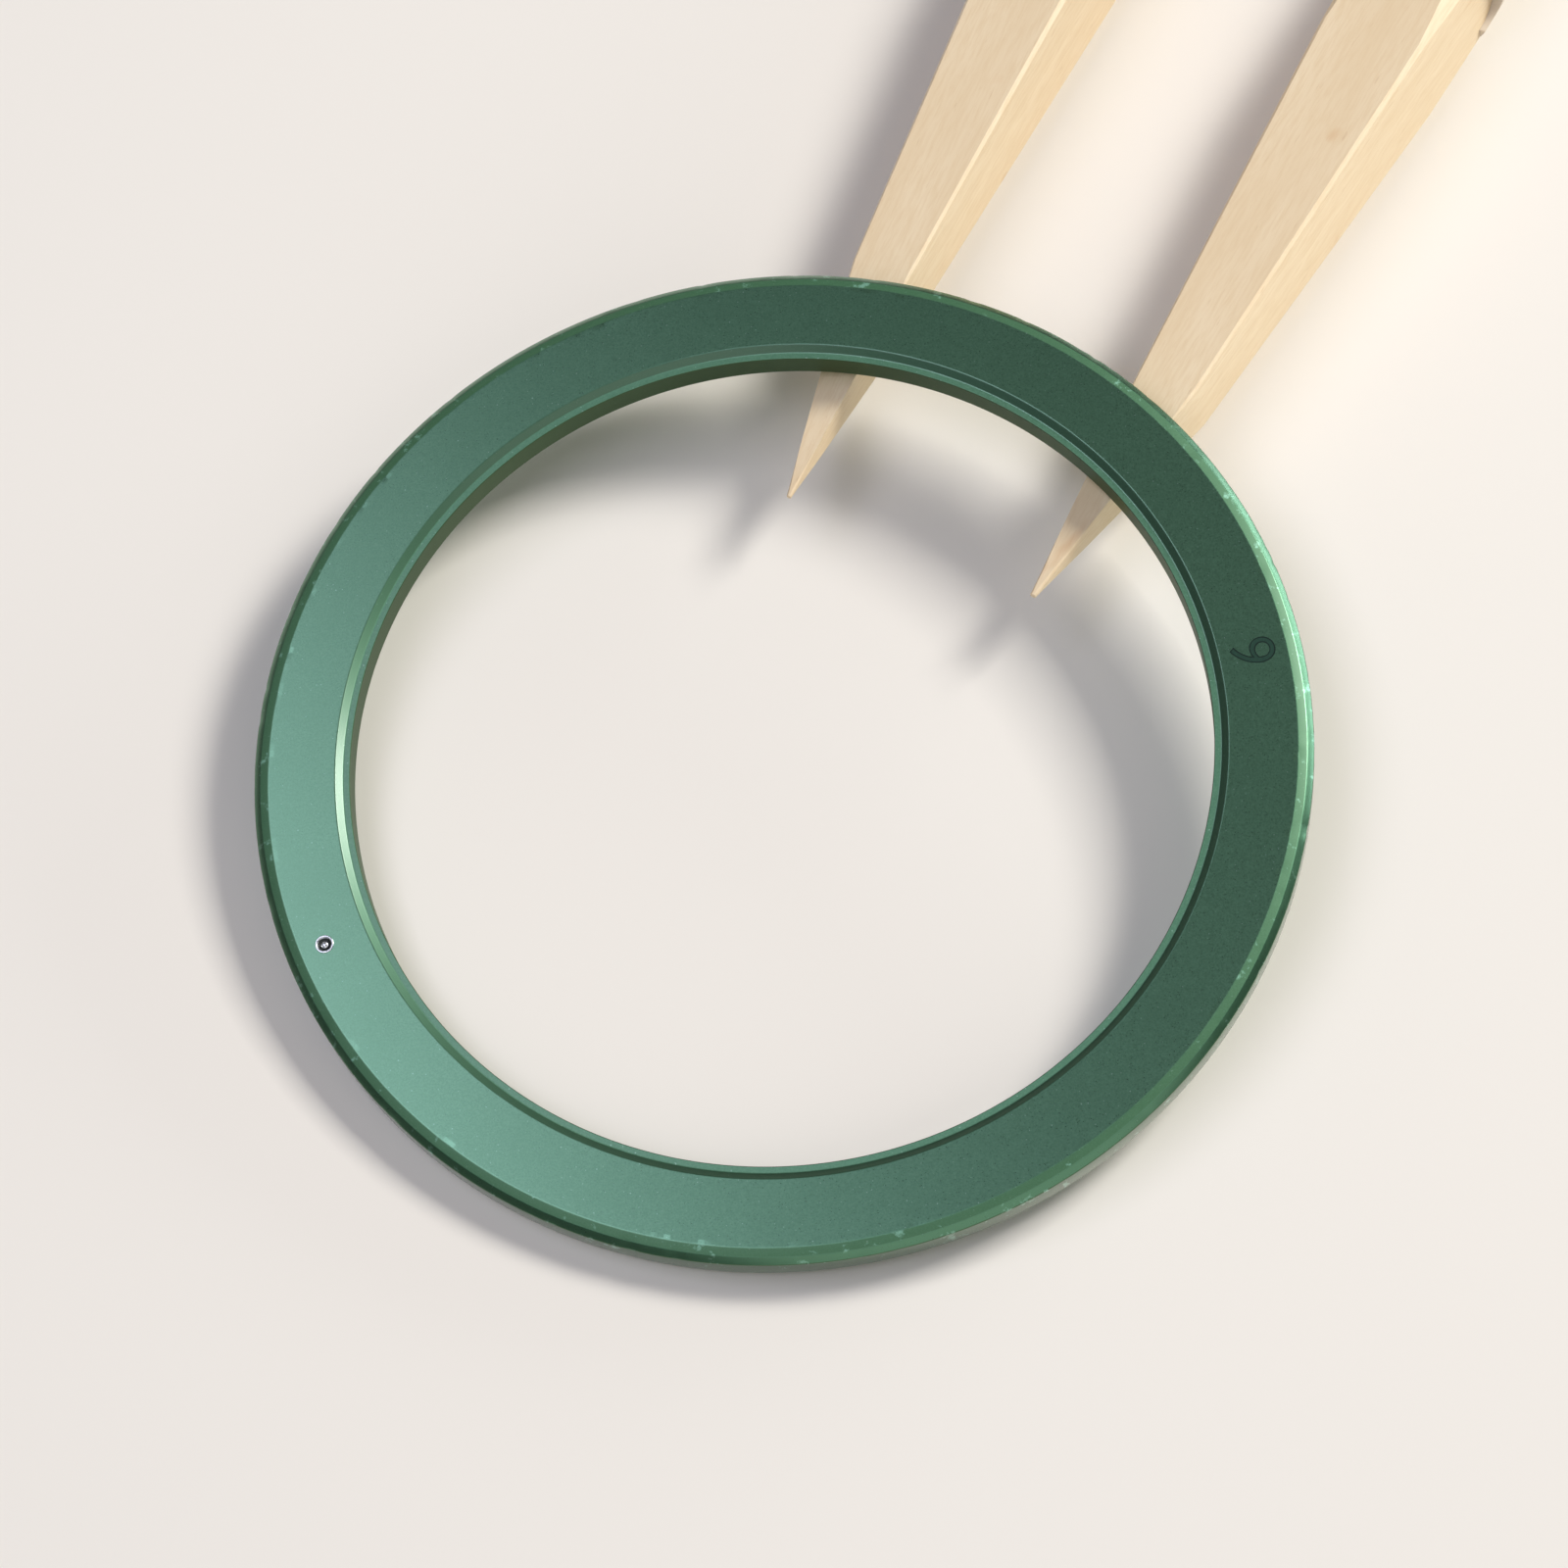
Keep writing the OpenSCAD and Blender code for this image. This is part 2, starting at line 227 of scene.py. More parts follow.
# Nicks: short dents pressed into the upper corners of the rim.
rim_corners = [
    (RING_RIM_R - RIM_EDGE_W, RIM_EDGE_H),
    (RING_RIM_R - RIM_BEVEL_W, RING_THICK),
    (RING_RIM_R, RIM_SIDE_TOP),
]
random.seed(11)
bpy.ops.object.mode_set(mode="EDIT")
bpy.ops.mesh.select_all(action="DESELECT")
bpy.ops.object.mode_set(mode="OBJECT")
corner_points = [
    v for v in ring.data.vertices
    if v.co.z > (RIM_SIDE_TOP - 0.1) * MM and v.co.xy.length > (RING_RIM_R - 1.2) * MM
]
for _ in range(NICKS):
    at = random.uniform(-math.pi, math.pi)
    corner_r, corner_h = random.choice(rim_corners)
    spot = Vector((corner_r * math.cos(at), corner_r * math.sin(at), corner_h)) * MM
    reach = random.uniform(0.2, 0.5) * MM
    depth = random.uniform(0.015, 0.05) * MM
    inwards = Vector((-math.cos(at), -math.sin(at), -0.8)).normalized()
    for v in corner_points:
        away = (v.co - spot).length
        if away < reach:
            v.co += inwards * depth * (1 - away / reach)
ring_place = Matrix.Translation(ring_spot) @ ring_turn
placed(ring, ring_place)


def new_finish(name):
    finish = bpy.data.materials.new(name)
    finish.use_nodes = True
    return finish, finish.node_tree, finish.node_tree.nodes["Principled BSDF"]


def put(tree, kind, inputs=(), **settings):
    """Adds a node, with its settings, and each input given as a value or a linked socket."""
    made = tree.nodes.new(kind)
    for setting, value in settings.items():
        setattr(made, setting, value)
    for key, value in dict(inputs).items():
        if isinstance(value, bpy.types.NodeSocket):
            tree.links.new(value, made.inputs[key])
        else:
            made.inputs[key].default_value = value
    return made


def lying_along(tree, place, stretch=(1, 1, 1)):
    """Object coordinates turned and centred on a piece, so that a pattern lies along it."""
    coordinates = put(tree, "ShaderNodeTexCoord")
    centred = put(
        tree, "ShaderNodeMapping",
        {"Vector": coordinates.outputs["Object"], "Location": place.to_translation(),
         "Rotation": place.to_euler()},
        vector_type="TEXTURE",
    )
    if stretch == (1, 1, 1):
        return centred.outputs[0]
    return put(tree, "ShaderNodeMapping", {"Vector": centred.outputs[0], "Scale": stretch}).outputs[0]


def noise(tree, where, scale, detail=3.0, roughness=0.5):
    return put(
        tree, "ShaderNodeTexNoise",
        {"Vector": where, "Scale": scale, "Detail": detail, "Roughness": roughness},
    ).outputs[0]


def ramp(tree, value, low, high, to_low=0.0, to_high=1.0):
    return put(
        tree, "ShaderNodeMapRange",
        {"Value": value, "From Min": low, "From Max": high, "To Min": to_low, "To Max": to_high},
    ).outputs[0]


def blended(tree, factor, first, second):
    """Mixes two colours; each is a tuple or a linked socket."""
    mixer = put(tree, "ShaderNodeMix", data_type="RGBA")
    for index, value in ((0, factor), (6, first), (7, second)):
        if isinstance(value, bpy.types.NodeSocket):
            tree.links.new(value, mixer.inputs[index])
        elif index == 0:
            mixer.inputs[index].default_value = value
        else:
            mixer.inputs[index].default_value = (*value, 1)
    return mixer.outputs[2]


def joined(tree, way, first, second):
    return put(tree, "ShaderNodeMath", {0: first, 1: second}, operation=way).outputs[0]


def raised(tree, shader, height, distance, strength=1.0):
    """Bump on the whole shader; distance in mm."""
    bump = put(tree, "ShaderNodeBump", {"Height": height, "Distance": distance * MM, "Strength": strength})
    tree.links.new(bump.outputs[0], shader.inputs["Normal"])


RING_GREEN = (0.135, 0.310, 0.192)
RING_GREEN_DEEP = (0.098, 0.245, 0.145)
RIM_GREEN = (0.075, 0.215, 0.115)
RIM_SIDE_SHADE_GREEN = (0.030, 0.105, 0.032)
STEP_SHADE_GREEN = (0.042, 0.110, 0.062)
HOLE_WALL_SHADE_AND_REFLECTION = (0.045, 0.075, 0.024)
NICK_PALE = (0.20, 0.42, 0.30)
SPECK_PALE = (0.28, 0.48, 0.37)

ring_plastic, tree, shader = new_finish("ring_plastic_finish")
on_ring = lying_along(tree, ring_place)
flat = put(tree, "ShaderNodeVectorMath", {0: on_ring, 1: (1, 1, 0)}, operation="MULTIPLY").outputs[0]
radius = put(tree, "ShaderNodeVectorMath", {0: flat}, operation="LENGTH").outputs["Value"]
fine = noise(tree, on_ring, 9000, 2, 0.6)
cloudy = noise(tree, on_ring, 160, 3)
specks = ramp(tree, noise(tree, on_ring, 7500, 0), 0.80, 0.86)
face = blended(tree, ramp(tree, fine, 0.3, 0.7), RING_GREEN_DEEP, RING_GREEN)
face = blended(tree, ramp(tree, cloudy, 0.35, 0.7, 0, 0.25), face, RING_GREEN_DEEP)
face = blended(tree, specks, face, SPECK_PALE)
# The zones of the ring's section, by radius: each fades in over a hair's breadth at its first edge.
on_rim, on_edge, on_side, on_step, on_ledge, on_hole_wall = (
    ramp(tree, radius, start * MM, end * MM)
    for start, end in (
        (RING_RIM_R - 1.0, RING_RIM_R - 0.9),
        (RING_RIM_R - 0.47, RING_RIM_R - 0.41),
        (RING_RIM_R - 0.06, RING_RIM_R - 0.03),
        (RING_HOLE_R + 0.94, RING_HOLE_R + 0.86),
        (RING_HOLE_R + 0.47, RING_HOLE_R + 0.42),
        (RING_HOLE_R + 0.06, RING_HOLE_R + 0.03),
    )
)
slope = joined(tree, "SUBTRACT", on_step, on_ledge)
first_bevel = joined(tree, "SUBTRACT", on_rim, on_edge)
rubbed = joined(tree, "MULTIPLY", on_rim, ramp(tree, noise(tree, on_ring, 900, 4, 0.7), 0.60, 0.68))
# Painted shade: the rim's side and, in part, its inner bevel are painted a darker, more saturated green than
# the face, for faces that turn from the light.
colour = blended(tree, ramp(tree, first_bevel, 0, 1, 0, 0.6), face, RIM_SIDE_SHADE_GREEN)
colour = blended(tree, on_edge, colour, RIM_GREEN)
colour = blended(tree, on_side, colour, RIM_SIDE_SHADE_GREEN)
# The sloped step down to the ledge is painted a darker green: painted shade in the step.
colour = blended(tree, ramp(tree, slope, 0, 1, 0, 0.8), colour, STEP_SHADE_GREEN)
# The hole's wall is painted a dark olive: painted shade, and a painted reflection of a brown surround.
colour = blended(tree, ramp(tree, on_hole_wall, 0, 1, 0, 0.85), colour, HOLE_WALL_SHADE_AND_REFLECTION)
colour = blended(tree, rubbed, colour, NICK_PALE)
tree.links.new(colour, shader.inputs["Base Color"])
duller = ramp(tree, joined(tree, "ADD", on_step, first_bevel), 0, 1, 0, 0.2)
shine = joined(tree, "ADD", ramp(tree, fine, 0.2, 0.8, 0.26, 0.34), duller)
tree.links.new(shine, shader.inputs["Roughness"])
dulled = joined(tree, "ADD", first_bevel, on_side)
tree.links.new(ramp(tree, dulled, 0, 1, 0.94, 0.40), shader.inputs["Metallic"])
uncoated = joined(tree, "ADD", first_bevel, on_hole_wall)
tree.links.new(ramp(tree, uncoated, 0, 1, 1.0, 0.08), shader.inputs["Coat Weight"])
shader.inputs["Coat Roughness"].default_value = 0.26
raised(tree, shader, fine, 0.006, 0.22)
ring.data.materials.append(ring_plastic)
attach(ring, "ring")
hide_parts("marker_ring")

# ---- Pin in the ring ----
# A fine steel pin with a rounded head stands in a sleeve painted near-black as shade in its recess, inside a
# bright pressed eyelet.
# All three are pressed into a blind hole in the ring's face.
PIN_R = 0.24
PIN_TOP = 1.78
PIN_HEAD_R = 0.30
PIN_HEAD_MIDDLE = 1.60
EYELET_HOLE_R = 0.40
EYELET_R = 0.495
EYELET_FOOT = 1.2
SLEEVE_HOLE_R = 0.28
SLEEVE_R = 0.396
PIN_STEEL_DEEP = (0.62, 0.64, 0.66)
PIN_STEEL_PALE = (0.82, 0.84, 0.86)
SLEEVE_SHADE_DEEP = (0.006, 0.010, 0.009)
SLEEVE_SHADE_PALE = (0.018, 0.026, 0.022)

pin_place = ring_place @ pin_spot
pin = turned(
    "pin",
    [(0.02, 0.0), (PIN_R, 0.0), (PIN_R, PIN_TOP)] + arc(0.0, PIN_HEAD_MIDDLE, PIN_HEAD_R, 37, 86, 6),
    sides=40,
)
softened(pin, 0.03, over=30)
placed(pin, pin_place)
eyelet = turned(
    "pin_eyelet",
    [(EYELET_HOLE_R, EYELET_FOOT), (EYELET_R, EYELET_FOOT), (EYELET_R, 1.9), (0.56, 1.905), (0.575, 1.925),
     (0.55, 1.95), (0.48, 1.95), (0.44, 1.92), (EYELET_HOLE_R, 1.84), (EYELET_HOLE_R, EYELET_FOOT)],
    sides=48,
)
softened(eyelet, 0.012, over=30)
placed(eyelet, pin_place)
sleeve = turned(
    "pin_sleeve",
    [(SLEEVE_HOLE_R, 0.0), (SLEEVE_R, 0.0), (SLEEVE_R, 1.80), (0.35, 1.74), (SLEEVE_HOLE_R, 1.72),
     (SLEEVE_HOLE_R, 0.0)],
    sides=48,
)
softened(sleeve, 0.012, over=30)
placed(sleeve, pin_place)

steel, tree, shader = new_finish("pin_steel_finish")
where = lying_along(tree, pin_place)
colour = blended(tree, noise(tree, where, 6000, 3), PIN_STEEL_DEEP, PIN_STEEL_PALE)
tree.links.new(colour, shader.inputs["Base Color"])
tree.links.new(ramp(tree, noise(tree, where, 9000, 2), 0.3, 0.7, 0.22, 0.36), shader.inputs["Roughness"])
shader.inputs["Metallic"].default_value = 1.0
raised(tree, shader, noise(tree, where, 12000, 2), 0.004)

# The sleeve's near-black colour is painted shade in the recess round the pin.
dark, tree, shader = new_finish("dark_sleeve_finish")
where = lying_along(tree, pin_place)
colour = blended(tree, noise(tree, where, 8000, 2), SLEEVE_SHADE_DEEP, SLEEVE_SHADE_PALE)
tree.links.new(colour, shader.inputs["Base Color"])
tree.links.new(ramp(tree, noise(tree, where, 7000, 2), 0.3, 0.7, 0.45, 0.6), shader.inputs["Roughness"])

for piece, finish, slot, node in (
    (pin, steel, "swivel_metal", "ring_pin"),
    (eyelet, steel, "swivel_metal", "ring_pin_bush"),
    (sleeve, dark, "mark_ink", "ring_pin_bush"),
):
    piece.data.materials.append(finish)
    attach(piece, "ring")
    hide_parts(node)

# ---- Size numeral ----
# One plain numeral, engraved and filled with dark ink, flush with the ring's face.
# Its rim is darker than its middle, as where ink gathers at the edge of a groove.
MARK_BEARING = math.radians(4.2)
MARK_FROM_CENTRE = 29.45
MARK_HEIGHT = 2.9
FIGURE_HEIGHT = 0.729  # of the lettering's own size
INK_EDGE_W = 0.075
INK_DEEP = ((0.006, 0.016, 0.012), (0.010, 0.026, 0.019))
INK_PALE = ((0.014, 0.040, 0.028), (0.024, 0.064, 0.044))

mark_place = (
    ring_place @ Matrix.Rotation(MARK_BEARING, 4, "Z") @ Matrix.Translation((MARK_FROM_CENTRE * MM, 0, 0))
    @ Matrix.Rotation(math.radians(-90), 4, "Z")
)


def numeral(name, figure, widen, bottom, top):
    """A solid numeral between two heights, its strokes widened or narrowed; all in mm."""
    bpy.ops.object.select_all(action="DESELECT")
    bpy.ops.object.text_add(location=(0, 0, 0))
    piece = bpy.context.object
    piece.name = name
    piece.data.body = figure
    piece.data.align_x = "CENTER"
    piece.data.align_y = "CENTER"
    piece.data.size = MARK_HEIGHT / FIGURE_HEIGHT * MM
    piece.data.resolution_u = 16
    piece.data.offset = widen * MM
    piece.data.extrude = (top - bottom) / 2 * MM
    bpy.ops.object.convert(target="MESH")
    piece = bpy.context.object
    bpy.ops.object.mode_set(mode="EDIT")
    bpy.ops.mesh.select_all(action="SELECT")
    bpy.ops.mesh.remove_doubles(threshold=0.0005 * MM)
    bpy.ops.mesh.normals_make_consistent(inside=False)
    bpy.ops.object.mode_set(mode="OBJECT")
    low = Vector([min(v.co[i] for v in piece.data.vertices) for i in range(3)])
    high = Vector([max(v.co[i] for v in piece.data.vertices) for i in range(3)])
    centre = (low + high) / 2
    centre.z -= (top + bottom) / 2 * MM
    placed(piece, mark_place @ Matrix.Translation(-centre))
    return piece


mark_edge = numeral("mark_ink_edge", "9", 0.0, RING_THICK - 0.3, RING_THICK + 0.006)
mark_middle = numeral("mark_ink_middle", "9", -INK_EDGE_W, RING_THICK - 0.2, RING_THICK + 0.009)
for piece, (low, high) in ((mark_edge, INK_DEEP), (mark_middle, INK_PALE)):
    ink, tree, shader = new_finish(piece.name + "_finish")
    where = lying_along(tree, mark_place)
    tree.links.new(blended(tree, noise(tree, where, 7000, 3), low, high), shader.inputs["Base Color"])
    tree.links.new(ramp(tree, noise(tree, where, 9000, 2), 0.3, 0.7, 0.50, 0.62), shader.inputs["Roughness"])
    shader.inputs["Specular IOR Level"].default_value = 0.12
    raised(tree, shader, noise(tree, where, 9000, 2), 0.005)
    piece.data.materials.append(ink)
    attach(piece, "ring")
    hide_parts("size_mark")

# ---- Wooden needle tips ----
# Each tip is pale birch: turned to a taper, planed to four flats with rounded corners, and pointed by hand.
# Its far end has round tongues that the ferrule's front edge is cut to fit.
WOOD_LEN = 53.0
BODY_R = 4.949
POINT_LEN = 17.0
POINT_R = BODY_R * 0.57
TAPER_END = 46.0
FLAT_SHARE = 0.735
SECTION_ROLL = math.radians(9)
TONGUE_R = 2.2
TENON_R = BODY_R * 0.74
TENON_END = 62
PIVOT_HOLE_R = 1.6
WOOD_ROUNDING = 0.16
NOTCH_GAP = 0.03
SHAFT_STATIONS = (24, 31, 38, TAPER_END, WOOD_LEN, WOOD_LEN + TONGUE_R)
CUP_START = 65.7

tip_places = {}
for joint in frame["joints"]:
    if joint["name"].endswith("_swivel_turn"):
        side = joint["name"].split("_")[0]
        along = Vector(joint["axis"])
        front_end = Vector(joint["pos_m"]) - along * CUP_START * MM
        tip_places[side] = (
            Matrix.Translation(front_end)
            @ Matrix.Rotation(math.atan2(along.y, along.x), 4, "Z")
            @ Matrix.Rotation(math.radians(90), 4, "Y")
        )
TIPS = (
    # side, skew of the point in degrees, half-width of the point in mm, shift of the grain in mm
    ("left", -2.5, 0.20, 3),
    ("right", 3.0, 0.26, 8),
)


def corner_radius(station, nose):
    """Half-width over the rounded corners at a distance from the point."""
    if station < POINT_LEN:
        pointed = POINT_R * (station / POINT_LEN) ** 0.83
        return (pointed**3 + nose**3 * (1 - station / POINT_LEN)) ** (1 / 3)
    if station < TAPER_END:
        return POINT_R + (BODY_R - POINT_R) * (station - POINT_LEN) / (TAPER_END - POINT_LEN)
    return BODY_R


def planed(piece, r0, s0, r1, s1):
    """Planes four flats on a turned piece, through two radii at two stations."""
    lean = math.atan2(r1 - r0, s1 - s0)
    only(piece)
    bpy.ops.object.mode_set(mode="EDIT")
    for quarter in range(4):
        a = math.pi / 2 * quarter - SECTION_ROLL
        outwards = Vector((math.cos(a) * math.cos(lean), math.sin(a) * math.cos(lean), -math.sin(lean)))
        through = Vector((math.cos(a) * r0, math.sin(a) * r0, s0)) * MM
        bpy.ops.mesh.select_all(action="SELECT")
        bpy.ops.mesh.bisect(
            plane_co=through, plane_no=outwards, use_fill=True, clear_inner=False, clear_outer=True,
            threshold=0.0001 * MM,
        )
    bpy.ops.object.mode_set(mode="OBJECT")


def merged(piece, other):
    """Makes one closed solid of two pieces and removes the second."""
    cut_away(piece, other, "UNION")
    bpy.data.objects.remove(other)


def tongue_cutter(radius):
    """Two crossed rods whose ends cut the four round notches at the end of the flats."""
    rods = []
    for quarter in range(2):
        bpy.ops.object.select_all(action="DESELECT")
        bpy.ops.mesh.primitive_cylinder_add(
            vertices=64, radius=radius * MM, depth=4 * BODY_R * MM, location=(0, 0, WOOD_LEN * MM),
            rotation=(0, math.pi / 2, math.pi / 2 * quarter - SECTION_ROLL),
        )
        rods.append(bpy.context.object)
    merged(rods[0], rods[1])
    return rods[0]


BIRCH_PALE = (0.86, 0.70, 0.475)
BIRCH_DEEP = (0.77, 0.59, 0.365)
BIRCH_RAY = (0.50, 0.29, 0.12)
BIRCH_FLECK = (0.60, 0.30, 0.10)

for side, skew, nose, grain_shift in TIPS:
    stations = [POINT_LEN * (i / 10) ** 1.4 for i in range(1, 11)]
    outline = [(nose * 0.3, 0.0), (nose * 0.75, 0.03)]
    outline += [(corner_radius(s, nose), s) for s in stations]
    outline += [(corner_radius(s, nose), s) for s in SHAFT_STATIONS]
    outline += [(TENON_R - 0.4, WOOD_LEN + TONGUE_R)]
    wood = turned(side + "_birch_tip", outline, sides=144)
    planed(wood, nose * FLAT_SHARE, 0, POINT_R * FLAT_SHARE, POINT_LEN)
    planed(wood, POINT_R * FLAT_SHARE, POINT_LEN, BODY_R * FLAT_SHARE, TAPER_END)
    softened(wood, WOOD_ROUNDING, segments=4, over=16)
    # The far end keeps only its tongues at full size, each a little smaller than its notch.
    keep = tongue_cutter(TONGUE_R - NOTCH_GAP)
    collar = turned(
        "collar",
        [(TENON_R - 0.02, WOOD_LEN - NOTCH_GAP), (BODY_R + 2, WOOD_LEN - NOTCH_GAP), (BODY_R + 2, WOOD_LEN + 4),
         (TENON_R - 0.02, WOOD_LEN + 4), (TENON_R - 0.02, WOOD_LEN - NOTCH_GAP)],
    )
    cut_away(collar, keep)
    cut_away(wood, collar)
    tenon = turned(
        "tenon",
        [(0.3, WOOD_LEN), (TENON_R - 0.04, WOOD_LEN), (TENON_R - 0.04, TENON_END), (PIVOT_HOLE_R, TENON_END)],
    )
    merged(wood, tenon)
    bpy.data.objects.remove(keep)
    bpy.data.objects.remove(collar)
    # The point was cut a little to one side of the axis.
    only(wood)
    for v in wood.data.vertices:
        before = POINT_LEN * MM - v.co.z
        if before > 0:
            v.co.y += math.tan(math.radians(skew)) * before
    evenly_shaded(wood)
    placed(wood, tip_places[side])

    birch, tree, shader = new_finish(side + "_birch_finish")
    place = tip_places[side] @ Matrix.Translation((0, 0, grain_shift * MM))
    fibres = noise(tree, lying_along(tree, place, (1, 1, 0.09)), 4600, 4, 0.65)
    growth = noise(tree, lying_along(tree, place, (1, 0.5, 0.03)), 700, 3, 0.55)
    rays = noise(tree, lying_along(tree, place, (1, 1, 0.12)), 4200, 2, 0.5)
    blotch = noise(tree, lying_along(tree, place, (1, 1, 0.5)), 420, 2, 0.4)
    colour = blended(tree, ramp(tree, growth, 0.38, 0.72, 0, 0.7), BIRCH_PALE, BIRCH_DEEP)
    colour = blended(tree, ramp(tree, fibres, 0.42, 0.66, 0, 0.75), colour, BIRCH_DEEP)
    colour = blended(tree, ramp(tree, rays, 0.68, 0.78, 0, 0.28), colour, BIRCH_RAY)
    colour = blended(tree, ramp(tree, blotch, 0.70, 0.80, 0, 0.4), colour, BIRCH_FLECK)
    tree.links.new(colour, shader.inputs["Base Color"])
    tree.links.new(ramp(tree, fibres, 0.3, 0.7, 0.40, 0.54), shader.inputs["Roughness"])
    raised(tree, shader, fibres, 0.012, 0.6)
    wood.data.materials.append(birch)
    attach(wood, side + "_tip")
    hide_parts(side + "_tip_wood")

# ---- Ferrules ----
# A pale grey moulded cap over the end of each wooden tip, closed but for the swivel's shoulder.
# Its front edge is scalloped round the wood's tongues, and a shallow groove runs near its back edge.
FERRULE_END = 65.0
FERRULE_WALL_END = FERRULE_END - 2
FERRULE_GROOVE = FERRULE_END - 1.75
FERRULE_PALE = (0.70, 0.61, 0.49)
FERRULE_DEEP = (0.64, 0.55, 0.43)
FERRULE_SPECK = (0.50, 0.43, 0.34)


def groove(outer_r, depth, middle, half_width, half_floor):
    """The four corners of a shallow groove round a turned piece, in mm."""
    floor_r = outer_r - depth
    return [(outer_r, middle - half_width), (floor_r, middle - half_floor), (floor_r, middle + half_floor),
            (outer_r, middle + half_width)]


for side, place in tip_places.items():
    ferrule = turned(
        side + "_ferrule_cap",
        [(TENON_R, WOOD_LEN), (BODY_R, WOOD_LEN)]
        + groove(BODY_R, 0.12, FERRULE_GROOVE, 0.45, 0.25)
        + [(BODY_R, FERRULE_END), (PIVOT_HOLE_R, FERRULE_END), (PIVOT_HOLE_R, FERRULE_WALL_END),
           (TENON_R, FERRULE_WALL_END), (TENON_R, WOOD_LEN)],
        sides=144,
    )
    notches = tongue_cutter(TONGUE_R)
    cut_away(ferrule, notches)
    bpy.data.objects.remove(notches)
    softened(ferrule, 0.07, segments=2, over=35)
    placed(ferrule, place)
    grey, tree, shader = new_finish(side + "_ferrule_finish")
    where = lying_along(tree, place)
    grain = noise(tree, where, 5200, 3, 0.6)
    colour = blended(tree, ramp(tree, noise(tree, where, 300, 3), 0.3, 0.7), FERRULE_PALE, FERRULE_DEEP)
    colour = blended(tree, ramp(tree, grain, 0.6, 0.8, 0, 0.35), colour, FERRULE_SPECK)
    tree.links.new(colour, shader.inputs["Base Color"])
    tree.links.new(ramp(tree, grain, 0.3, 0.7, 0.5, 0.62), shader.inputs["Roughness"])
    raised(tree, shader, grain, 0.008, 0.6)
    ferrule.data.materials.append(grey)
    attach(ferrule, side + "_tip")
    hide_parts(side + "_ferrule")

# ---- Thrust washers and pivot screws ----
# A thin brass washer lets each swivel cup turn against the ferrule's end, on the shoulder of a steel screw.
# The screw is driven into the wood's end before the cable socket closes the cup.
SHOULDER_HOLE_R = 1.65
WASHER_R = 4.4
WASHER_START = 65.05
WASHER_END = 65.65
BRASS_DEEP = (0.62, 0.42, 0.15)
BRASS_PALE = (0.80, 0.58, 0.26)
SCREW_DEEP = (0.40, 0.40, 0.41)
SCREW_PALE = (0.62, 0.62, 0.63)

for side, place in tip_places.items():
    washer = turned(
        side + "_brass_washer",
        [(SHOULDER_HOLE_R, WASHER_START), (WASHER_R, WASHER_START), (WASHER_R, WASHER_END),
         (SHOULDER_HOLE_R, WASHER_END), (SHOULDER_HOLE_R, WASHER_START)],
    )
    softened(washer, 0.1, over=35)
    placed(washer, place)
    brass, tree, shader = new_finish(side + "_brass_finish")
    turned_marks = noise(tree, lying_along(tree, place, (0.2, 0.2, 12)), 1500, 3)
    colour = blended(tree, turned_marks, BRASS_DEEP, BRASS_PALE)
    tree.links.new(colour, shader.inputs["Base Color"])
    tree.links.new(ramp(tree, turned_marks, 0.3, 0.7, 0.24, 0.36), shader.inputs["Roughness"])
    shader.inputs["Metallic"].default_value = 1.0
    raised(tree, shader, turned_marks, 0.004)
    washer.data.materials.append(brass)
    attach(washer, side + "_tip")
    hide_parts(side + "_thrust_washer")

    screw_steel, tree, shader = new_finish(side + "_screw_finish")
    lathe = noise(tree, lying_along(tree, place, (0.3, 0.3, 6)), 1800, 3)
    tree.links.new(blended(tree, lathe, SCREW_DEEP, SCREW_PALE), shader.inputs["Base Color"])
    tree.links.new(ramp(tree, lathe, 0.3, 0.7, 0.28, 0.42), shader.inputs["Roughness"])
    shader.inputs["Metallic"].default_value = 1.0
    screw = frame["nodes"][side + "_pivot_screw"]
    screw.data.materials.clear()
    screw.data.materials.append(screw_steel)

# ---- Swivel cups, cable sockets and grub screws ----
# A satin steel cup turns on the pivot screw, and the tapered cable socket screws into its open end.
# Two opposite grub screws with sunk key holes clamp the cable in the socket's bore.
CUP_WALL_END = 68.2
CUP_END = 73.7
SOCKET_END = 83.99
CUP_R = 4.7
CUP_HOLLOW_R = 2.9
CUP_GROOVES = (67.3, 72.1)
SWIVEL_CHAMFER = 0.4
PLUG_START = 70.3
SOCKET_ROOT_R = 4.3
SOCKET_END_R = 2.5
SOCKET_BORE_R = 1.55
SOCKET_DEPTH = 9
GRUB_STATION = 78.0
GRUB_R = 0.8
GRUB_THREAD_R = 0.79
GRUB_KEY_HOLE_R = 0.36
SATIN_DEEP = (0.50, 0.50, 0.50)
SATIN_PALE = (0.70, 0.70, 0.69)
SATIN_HANDLED = (0.42, 0.42, 0.43)

